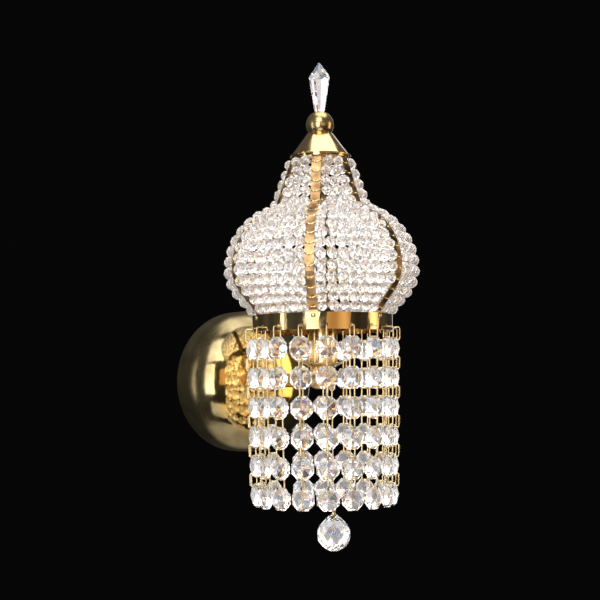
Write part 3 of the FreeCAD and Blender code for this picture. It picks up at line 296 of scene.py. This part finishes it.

# The front is a gold mirror. Towards its edge and on its side the plate turns satin, and its colour
# turns a darker olive there as painted shade. The spans lie along the axis out from the wall, in
# metres.
POLISH_SPAN, PAINTED_SHADE_SPAN = (-0.040, -0.026), (-0.046, -0.036)
FRONT_AND_SIDE_ROUGHNESS = (0.05, 0.27)
plate_brass, plate_tree, plate_shader = new_finish("plate_brass", (0.52, 0.40, 0.21), 1, 0.07)
plate_place = node(plate_tree, "ShaderNodeSeparateXYZ")
plate_tree.links.new(
    node(plate_tree, "ShaderNodeTexCoord").outputs["Object"], plate_place.inputs[0]
)
out_from_wall = plate_place.outputs["Y"]
satin = remapped(plate_tree, out_from_wall, POLISH_SPAN, FRONT_AND_SIDE_ROUGHNESS, "SMOOTHSTEP")
turning_marks = remapped(
    plate_tree, noise_of(plate_tree, 130, 4, (1, 8, 1)), NOISE_SPAN, (0.0, 0.07)
)
plate_tree.links.new(
    joined(plate_tree, "ADD", satin, turning_marks), plate_shader.inputs["Roughness"]
)
front_gold = tinted(plate_tree, noise_of(plate_tree, 40), (0.80, 0.50, 0.13), (0.92, 0.66, 0.24))
# painted shade: the side's colour is a darker olive, blended in towards the wall
side_painted_shade = tinted(plate_tree, noise_of(plate_tree, 55), (0.22, 0.17, 0.08), (0.40, 0.32, 0.17))
painted_shade_share = remapped(plate_tree, out_from_wall, PAINTED_SHADE_SPAN, way="SMOOTHSTEP")
plate_colour = node(plate_tree, "ShaderNodeMix", data_type="RGBA")
plate_tree.links.new(painted_shade_share, plate_colour.inputs[0])
plate_tree.links.new(front_gold, plate_colour.inputs[6])
plate_tree.links.new(side_painted_shade, plate_colour.inputs[7])
plate_tree.links.new(plate_colour.outputs[2], plate_shader.inputs["Base Color"])
bumped(plate_tree, plate_shader, noise_of(plate_tree, *BRASS_GRAIN), 0.06, BRASS_DEPTH)

PLATE_RADIUS, PLATE_SIDE, PLATE_DOME, PLATE_WALL, PLATE_LIP = 63.7, 16.6, 34.4, 1.2, 0.3
plate_line = [
    (PLATE_RADIUS - PLATE_WALL, 0), (PLATE_RADIUS - PLATE_LIP, 0), (PLATE_RADIUS, PLATE_LIP),
]
plate_line += arc_points(0, PLATE_SIDE, PLATE_RADIUS, PLATE_DOME, 0, 90)
plate_line += arc_points(
    0, PLATE_SIDE, PLATE_RADIUS - PLATE_WALL, PLATE_DOME - PLATE_WALL, 90, 0
)
add_piece(
    spun(plate_line, "Y", (0, 0, 0), 128), "plate_dome", plate_brass,
    instead=["wall_plate"], smooth=40,
)

# ---------------------------------------------------------------- bracket, terminal block and nut
# Behind the plate a zinc-plated strap holds the arm's tail with a nut, and a moulded terminal
# block joins the wires. They keep their solids and get their finishes.


def dress(name, finish):
    """Gives a solid its finish."""
    solid = frame["nodes"][name]
    solid.data.materials.clear()
    solid.data.materials.append(finish)


zinc_steel, zinc_tree, zinc_shader = new_finish("zinc_steel", (0.62, 0.64, 0.66), 1, 0.35)
zinc_tree.links.new(
    tinted(zinc_tree, noise_of(zinc_tree, 150), (0.52, 0.54, 0.56), (0.72, 0.73, 0.74)),
    zinc_shader.inputs["Base Color"],
)
zinc_tree.links.new(
    remapped(zinc_tree, noise_of(zinc_tree, 500, 5), NOISE_SPAN, (0.28, 0.5)),
    zinc_shader.inputs["Roughness"],
)
bumped(zinc_tree, zinc_shader, noise_of(zinc_tree, 900), 0.15, 0.0003)
for name in ("mounting_bracket", "arm_nut", "stem_nipple"):
    dress(name, zinc_steel)


def moulded_finish(name, colour, roughness, grain, relief):
    """Moulded plastic: a polish that varies between two values, and a fine grain."""
    finish, tree, shader = new_finish(name, colour, 0, roughness[0])
    gloss = remapped(tree, noise_of(tree, grain[0]), NOISE_SPAN, roughness)
    tree.links.new(gloss, shader.inputs["Roughness"])
    bumped(tree, shader, noise_of(tree, grain[1]), relief, 0.0002)
    return finish


white_plastic = moulded_finish(
    "white_plastic", (0.88, 0.88, 0.86), (0.35, 0.5), (300, 1500), 0.1
)
dress("terminal_block", white_plastic)

# ---------------------------------------------------------------- arm, hub and lamp sleeve
# Turned and polished brass: the arm with its collar against the plate, the hub that it enters,
# the drip plate and the plain sleeve round the lamp holder.


def brass_finish(name, deep, pale, roughness, relief, drift=(45, 3)):
    """Brass whose colour drifts between two, with a polish that varies and a fine relief."""
    finish, tree, shader = new_finish(name, pale, 1, roughness[1])
    tree.links.new(tinted(tree, noise_of(tree, *drift), deep, pale), shader.inputs["Base Color"])
    polish = remapped(tree, noise_of(tree, 160, 5), NOISE_SPAN, roughness)
    tree.links.new(polish, shader.inputs["Roughness"])
    bumped(tree, shader, noise_of(tree, *BRASS_GRAIN), relief, BRASS_DEPTH)
    return finish


polished_brass = brass_finish(
    "polished_brass", (0.70, 0.47, 0.19), (0.84, 0.61, 0.30), (0.10, 0.22), 0.05
)
lacquer = polished_brass.node_tree.nodes["Principled BSDF"].inputs
lacquer["Coat Weight"].default_value = 0.2
lacquer["Coat Roughness"].default_value = 0.06

SKIN_SEAM = 2e-6                   # corners of a solid nearer than this, in metres, are one


def skin_of(name):
    """The solid's skin, merged into one surface."""
    form = bmesh.new()
    form.from_mesh(frame["nodes"][name].data)
    bmesh.ops.remove_doubles(form, verts=form.verts, dist=SKIN_SEAM)
    return form


for name in ("arm_tube", "arm_collar", "hub", "drip_plate", "socket_sleeve", "holder_ring"):
    add_piece(
        skin_of(name), name + "_brass", polished_brass,
        instead=[name], smooth=35,
    )

black_plastic = moulded_finish(
    "black_plastic", (0.03, 0.03, 0.03), (0.35, 0.55), (400, 1200), 0.15
)
dress("lamp_holder", black_plastic)

# ---------------------------------------------------------------- spider, ring band, ribs and crown
# The cage: three spokes from the sleeve to a flat polished band, and six flat strips bent to the
# onion outline, screwed to the band below and to the crown disc above. The crystals round it are
# painted into the brass's colour as painted reflections: dark blotches on the ribs and upright
# streaks on the band.
# painted reflection: the ribs' colour runs from near black to gold in blotches
rib_brass_painted_reflections = brass_finish(
    "rib_brass_painted_reflections", (0.06, 0.04, 0.02), (0.74, 0.44, 0.20), (0.24, 0.40), 0.08, (85, 2)
)
add_piece(
    skin_of("dome_ribs"), "dome_ribs_brass", rib_brass_painted_reflections,
    instead=["dome_ribs"], smooth=30,
)
for name in ("ring_spider", "crown_disc"):
    add_piece(
        skin_of(name), name + "_brass", polished_brass,
        instead=[name], smooth=30,
    )
# painted reflection: the band's colour runs in upright streaks from dark brown to pale gold
band_brass_painted_streaks = brass_finish(
    "band_brass_painted_streaks", (0.30, 0.17, 0.06), (1.0, 0.78, 0.42), (0.06, 0.14), 0.04,
    (75, 2, (1, 1, 0.03)),
)
add_piece(
    skin_of("ring_band"), "ring_band_brass", band_brass_painted_streaks,
    instead=["ring_band"], smooth=30,
)

pin_brass = brass_finish(
    "pin_brass", (0.85, 0.66, 0.33), (0.93, 0.80, 0.52), (0.10, 0.24), 0.06
)
add_piece(
    skin_of("rib_screws"), "rib_screw_heads", pin_brass,
    instead=["rib_screws"], smooth=40,
)

# ---------------------------------------------------------------- cone cap and finial
# A spun cone with a thin turned rim covers the crown. A satin ball is threaded through it, and
# carries a cut crystal spear.
CROWN_TOP, CAP_TOP = 186.6, 206.9
cap_line = [
    (23.4, CROWN_TOP), (25.5, CROWN_TOP), (25.8, CROWN_TOP + 0.3), (25.8, CROWN_TOP + 0.9),
    (25.5, CROWN_TOP + 1.2), (24.6, CROWN_TOP + 1.25), (24.0, CROWN_TOP + 1.9),
    (10.9, CAP_TOP - 0.5), (10.2, CAP_TOP), (2.5, CAP_TOP), (2.5, CAP_TOP - 1.2),
    (9.2, CAP_TOP - 1.2),
]
add_piece(
    spun(cap_line, "Z", (0, LAMP_Y, 0)), "cone_cap_brass", polished_brass,
    instead=["cone_cap"], smooth=28,
)

BALL_MIDDLE, BALL_RADIUS, SPEAR_FOOT = 214.1, 11.7, 225.3
STUD_RADIUS, STUD_FOOT = 2.4, CROWN_TOP - 6.8
ball_low = math.degrees(math.asin((CAP_TOP - BALL_MIDDLE) / BALL_RADIUS))
ball_high = math.degrees(math.asin((SPEAR_FOOT - BALL_MIDDLE) / BALL_RADIUS))
ball_line = [(0, STUD_FOOT), (STUD_RADIUS, STUD_FOOT), (STUD_RADIUS, CAP_TOP)]
ball_line += arc_points(0, BALL_MIDDLE, BALL_RADIUS, BALL_RADIUS, ball_low, ball_high)
ball_line.append((0, SPEAR_FOOT))
satin_brass = brass_finish(
    "satin_brass", (0.58, 0.42, 0.18), (0.76, 0.57, 0.28), (0.20, 0.32), 0.10
)
add_piece(
    spun(ball_line, "Z", (0, LAMP_Y, 0), closed=False), "finial_ball_brass", satin_brass,
    instead=["finial_ball"], smooth=40,
)

PAINTED_AMBER_FIRE, PAINTED_BLUE_FIRE = (1.0, 0.78, 0.50), (0.72, 0.84, 1.0)     # the few facets with painted fire
FILM_IOR = 1.35


def crystal_finish(name, dim, warm, cool, white, clear, bend, film):
    """Cut glass: each facet has its own painted tone, from painted shade to painted glints and
    fire, and a thin film, in nanometres, adds colour.
    """
    finish, tree, shader = new_finish(name, warm, 0, 0.0)
    shader.inputs["Transmission Weight"].default_value = clear
    shader.inputs["IOR"].default_value = bend
    shader.inputs["Thin Film IOR"].default_value = FILM_IOR
    # each facet's painted tone: painted shade, painted warm and cool reflections, painted glints
    # and painted fire
    facet = node(tree, "ShaderNodeAttribute", attribute_name="facet")
    tones = node(tree, "ShaderNodeValToRGB")
    ramp = tones.color_ramp
    ramp.elements[0].color = (*dim, 1)
    ramp.elements[1].color = (*PAINTED_BLUE_FIRE, 1)
    for share, painted_tone in ((0.22, warm), (0.50, white), (0.74, cool), (0.90, white), (0.95, PAINTED_AMBER_FIRE)):
        ramp.elements.new(share).color = (*painted_tone, 1)
    tree.links.new(facet.outputs["Fac"], tones.inputs["Fac"])
    tree.links.new(tones.outputs["Color"], shader.inputs["Base Color"])
    coat = remapped(tree, noise_of(tree, 260, 1), NOISE_SPAN, film)
    tree.links.new(coat, shader.inputs["Thin Film Thickness"])
    return finish


FACET_FLAT = math.radians(0.5)     # faces that meet at less than this are one facet


def cut_stone(rings):
    """A stone with flat facets through rings of corners about the upright axis.

    Each ring is (count, radius, height, turn), in millimetres and degrees.
    """
    form = bmesh.new()
    for count, radius, height, turn in rings:
        for i in range(count):
            angle = math.radians(360 * i / count + turn)
            form.verts.new(
                (radius * math.cos(angle) * MM, radius * math.sin(angle) * MM, height * MM)
            )
    bmesh.ops.convex_hull(form, input=form.verts)
    bmesh.ops.dissolve_limit(form, angle_limit=FACET_FLAT, verts=form.verts, edges=form.edges)
    bmesh.ops.recalc_face_normals(form, faces=form.faces)
    return form


painted_glints_and_shade = random.Random(11)          # the facets' painted tones of glint and shade, drawn piece after piece
# The spear stands alone against the black, so its glass is painted in darker tones than the rest,
# as painted shade.
spear_crystal = crystal_finish(
    "spear_crystal", (0.22, 0.20, 0.21), (0.46, 0.41, 0.41), (0.38, 0.39, 0.46),
    (0.50, 0.47, 0.48), 0.97, 1.5, (120, 330),
)
EIGHTH = math.cos(math.pi / 8)     # how far out an octagon's flats stand, its corners at 1
spear = cut_stone([
    (8, 3.6 / EIGHTH, 0, 22.5), (8, 4.1 / EIGHTH, 1.5, 22.5),
    (8, 8.2 / EIGHTH, 29.4, 22.5), (8, 8.0, 31.6, 0), (8, 0.3, 42.1, 22.5),
])
bmesh.ops.translate(spear, verts=spear.verts, vec=(0, LAMP_Y, SPEAR_FOOT * MM))
add_piece(
    spear, "finial_spear", spear_crystal,
    instead=["finial_spike"], facets=painted_glints_and_shade,
)

# ---------------------------------------------------------------- bead dome
# Seventeen strings of clear faceted beads run round the cage, one row above the other. Between
# two ribs the beads lie side by side, and the string's wire crosses each rib on its face.
BEAD_ROWS = [
    (25.73, 179.66), (28.78, 171.04), (31.83, 162.42), (34.89, 153.8), (38.11, 145.25),
    (45.12, 139.72), (53.19, 135.44), (60.41, 129.85), (66.55, 123.09), (71.44, 115.38),
    (74.94, 106.95), (76.93, 98.04), (77.33, 88.91), (75.3, 80.04), (70.68, 72.19),
    (64.78, 65.21), (58.87, 58.23),
]                                  # each row's radius and height
BEAD_RADIUS, BEAD_PITCH = 4.55, 9.1
BEAD_CUT = [
    (0.40, 0.90, 22.5), (0.90, 0.42, 0), (1, 0, 22.5), (0.90, -0.42, 0), (0.40, -0.90, 22.5),
]                                  # its rings' radius and height, in bead radii, and their turn
RIBS, RIB_STEP, FIRST_RIB = 6, 60, -71     # degrees about the lamp axis, from +X
RIB_HALF = 3.75
BESIDE_RIB = 0.9                   # a row's end bead stands so many radii off the rib's edge
ROW_SQUEEZE = 0.15                 # a row short by no more than this, in pitches, takes one more
ROW_PLAY = 0.5                     # how far a full row may lie off its middle
BEAD_LIE = 0.05                    # how far beads tip off their string, in radians

bead_crystal = crystal_finish(
    "bead_crystal", (0.78, 0.73, 0.70), (1.0, 0.96, 0.93), (1.0, 0.98, 0.97), (1, 1, 1),
    0.84, 1.5, (60, 130),
)


def pattern(form, name):
    """A form kept as a mesh, to be laid many times."""
    mesh = bpy.data.meshes.new(name)
    form.to_mesh(mesh)
    form.free()
    return mesh


def lay(form, mesh, matrix):
    """Adds a pattern to a form, moved by a matrix."""
    before = len(form.verts)
    form.from_mesh(mesh)
    form.verts.ensure_lookup_table()
    bmesh.ops.transform(form, matrix=matrix, verts=form.verts[before:])


def about_lamp(bearing, out, height):
    """A point at a bearing round the lamp axis, in radians and millimetres."""
    return Vector(
        (out * MM * math.cos(bearing), LAMP_Y + out * MM * math.sin(bearing), height * MM)
    )


# the bead's hole runs upright in its pattern, from one small cap to the other
bead_form = cut_stone([(8, BEAD_RADIUS * r, BEAD_RADIUS * h, turn) for r, h, turn in BEAD_CUT])
bead = pattern(bead_form, "bead_pattern")
chance = random.Random(7)          # how the beads lie
for panel in range(RIBS):
    middle = FIRST_RIB + RIB_STEP / 2 + RIB_STEP * panel
    form = bmesh.new()
    for radius, height in BEAD_ROWS:
        gap = math.degrees(math.asin((RIB_HALF + BEAD_RADIUS * BESIDE_RIB) / radius))
        arc = RIB_STEP - 2 * gap
        length = radius * math.radians(arc)
        count = 1 + int(length / BEAD_PITCH + ROW_SQUEEZE)
        spare = max(0, length - (count - 1) * BEAD_PITCH) / 2 + ROW_PLAY
        drift = math.degrees(chance.uniform(-spare, spare) / radius)
        packed = min(arc, math.degrees((count - 1) * BEAD_PITCH / radius))
        for i in range(count):
            share = i / (count - 1) - 0.5 if count > 1 else 0
            angle = math.radians(middle + drift + packed * share)
            along = Vector((-math.sin(angle), math.cos(angle), 0))
            turn = along.to_track_quat("Z", "Y").to_matrix().to_4x4()
            spin = Matrix.Rotation(chance.uniform(0, math.tau), 4, "Z")
            lie = Matrix.Rotation(chance.gauss(0, BEAD_LIE), 4, "X")
            place = Matrix.Translation(about_lamp(angle, radius, height))
            lay(form, bead, place @ turn @ lie @ spin)
    add_piece(
        form, "bead_panel_%d" % (panel + 1), bead_crystal,
        instead=["bead_panels"], facets=painted_glints_and_shade,
    )

# A string's way over a rib, from the beads at one side to the rib's middle: the place across the
# rib, in its half widths, the distance out from the row and the drop below it. A small knot sits
# on the middle.
STRING_RADIUS, STRING_OUT, STRING_DROP = 0.7, 1.2, 1.1
CROSSING = [
    (1.8, 0, 0), (1.35, 0, 0), (0.95, STRING_OUT, 0), (0.35, STRING_OUT + 0.1, STRING_DROP),
]
KNOT_RADIUS, KNOT_OUT = 0.95, STRING_OUT + 0.3


def new_wire(name, radius, rounding):
    """A brass wire with no runs yet, its radius in millimetres."""
    wire = bpy.data.curves.new(name, "CURVE")
    wire.dimensions = "3D"
    wire.bevel_depth = radius * MM
    wire.bevel_resolution = rounding
    wire.materials.append(pin_brass)
    return wire


def add_run(wire, points):
    """Adds a run through points to a wire."""
    run = wire.splines.new("POLY")
    run.points.add(len(points) - 1)
    for corner, point in zip(run.points, points):
        corner.co = (*point, 1)
    return run


knots = bmesh.new()
strings = new_wire("bead_strings", STRING_RADIUS, 1)
for radius, height in BEAD_ROWS:
    half = math.degrees(RIB_HALF / (radius + STRING_OUT))
    for rib in range(RIBS):
        at = FIRST_RIB + RIB_STEP * rib
        crossing = [(-share, out, drop) for share, out, drop in CROSSING] + CROSSING[::-1]
        add_run(strings, [
            about_lamp(math.radians(at + half * share), radius + out, height - drop)
            for share, out, drop in crossing
        ])
        knot = about_lamp(math.radians(at), radius + KNOT_OUT, height - STRING_DROP)
        bmesh.ops.create_icosphere(
            knots, subdivisions=1, radius=KNOT_RADIUS * MM, matrix=Matrix.Translation(knot)
        )
bead_strings = bpy.data.objects.new("bead_strings", strings)
bpy.context.scene.collection.objects.link(bead_strings)
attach(bead_strings, "fixture")
add_piece(knots, "string_knots", pin_brass, smooth=80)

# ---------------------------------------------------------------- crystal strands
# Eighteen strands hang from holes in the band. Each has six flat octagons cut to a star, joined
# by bent brass wire links through their pin holes.
CRYSTAL_HEIGHTS = [25.2 - 23.9 * i for i in range(6)]
STRAND_LEAN = math.radians(1.34)   # a strand's foot hangs a little nearer to the lamp axis
STRAND_OUT, STRAND_MIDDLE = 58.4, -34.55
PIN_HOLE = 6.9                     # where a link ends, from the crystal's middle
BAND_HOLE = 42.6
LINK_WIRE, LINK_HALF, LINK_BEND = 0.72, 4.3, 1.3   # radius, half its depth, radius of a corner
THIN_FROM, THIN_SHARE = 39, 0.64   # the wire is thinner from this height up, in the band's hole

cut_crystal = crystal_finish(
    "cut_crystal", (0.36, 0.33, 0.32), (0.92, 0.80, 0.73), (0.80, 0.82, 0.90),
    (0.92, 0.91, 0.91), 0.95, 1.55, (120, 330),
)
octagon_form = cut_stone([
    (1, 0, 4.4, 0), (8, 7.4, 2.7, 0), (8, 9.0 / EIGHTH, 0.8, 22.5),
    (8, 9.0 / EIGHTH, -0.8, 22.5), (8, 7.4, -2.7, 0), (1, 0, -4.4, 0),
])
bmesh.ops.rotate(
    octagon_form, verts=octagon_form.verts, cent=(0, 0, 0),
    matrix=Matrix.Rotation(math.pi / 2, 3, "Y"),
)
octagon = pattern(octagon_form, "octagon_pattern")


def strand_out(height):
    """A strand's distance from the lamp axis at a height, in millimetres."""
    return STRAND_OUT + (height - STRAND_MIDDLE) * math.tan(STRAND_LEAN)


def link_corners(low, high):
    """A wire link's outline through two pin holes: (distance outwards, height) points."""
    corners = []
    for across, end, start in ((1, high, 0), (-1, high, 90), (-1, low, 180), (1, low, 270)):
        inner = end - LINK_BEND if end == high else end + LINK_BEND
        for step in (0, 30, 60, 90):
            turn = math.radians(start + step)
            aside = across * (LINK_HALF - LINK_BEND) + LINK_BEND * math.cos(turn)
            corners.append((aside, inner + LINK_BEND * math.sin(turn)))
    return corners


for joint in frame["joints"]:
    child = joint["child"]
    if not child.startswith("strand_"):
        continue
    number = child[-2:]
    x, y = joint["pos_m"][:2]
    bearing = math.atan2(y - LAMP_Y, x)
    hang = Matrix.Rotation(bearing, 4, "Z") @ Matrix.Rotation(STRAND_LEAN, 4, "Y")
    form = bmesh.new()
    for height in CRYSTAL_HEIGHTS:
        place = Matrix.Translation(about_lamp(bearing, strand_out(height), height))
        lay(form, octagon, place @ hang)
    add_piece(
        form, "strand_octagons_" + number, cut_crystal, child,
        ["strand_crystals_" + number], facets=painted_glints_and_shade,
    )
    wires = new_wire("strand_wires_" + number, LINK_WIRE, 2)
    ends = [(CRYSTAL_HEIGHTS[0] + PIN_HOLE, BAND_HOLE)]
    for high, low in zip(CRYSTAL_HEIGHTS, CRYSTAL_HEIGHTS[1:]):
        ends.append((low + PIN_HOLE, high - PIN_HOLE))
    for low, high in ends:
        corners = link_corners(low, high)
        loop = add_run(wires, [
            about_lamp(bearing, strand_out(height) + aside, height) for aside, height in corners
        ])
        loop.use_cyclic_u = True
        for corner, (aside, height) in zip(loop.points, corners):
            corner.radius = THIN_SHARE if height > THIN_FROM else 1
    links = bpy.data.objects.new("strand_wires_" + number, wires)
    bpy.context.scene.collection.objects.link(links)
    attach(links, child)
    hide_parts("strand_links_" + number)

# ---------------------------------------------------------------- ball pendant
# A cut crystal ball hangs below the curtain on a long wire from the hub's eye, by a small brass
# disc and ring. Each belt of its facets is turned by half a facet from the next.
dress("pendant_hook", pin_brass)
dress("pendant_cap", pin_brass)
PENDANT_RADIUS, PENDANT_Y, PENDANT_HEIGHT = 13.7, -152, -126.1
pendant_rings = [(12, 2.6, 16.1, 0)]
for step, latitude in enumerate((50, 32, 14, -4, -22, -40, -58, -75)):
    pendant_rings.append((
        12, PENDANT_RADIUS * math.cos(math.radians(latitude)),
        PENDANT_RADIUS * math.sin(math.radians(latitude)), step % 2 * 15,
    ))
pendant_rings.append((1, 0, -13.65, 0))
stone = cut_stone(pendant_rings)
bmesh.ops.translate(stone, verts=stone.verts, vec=(0, PENDANT_Y * MM, PENDANT_HEIGHT * MM))
add_piece(
    stone, "pendant_stone", cut_crystal, "pendant", ["pendant_ball"], facets=painted_glints_and_shade,
)
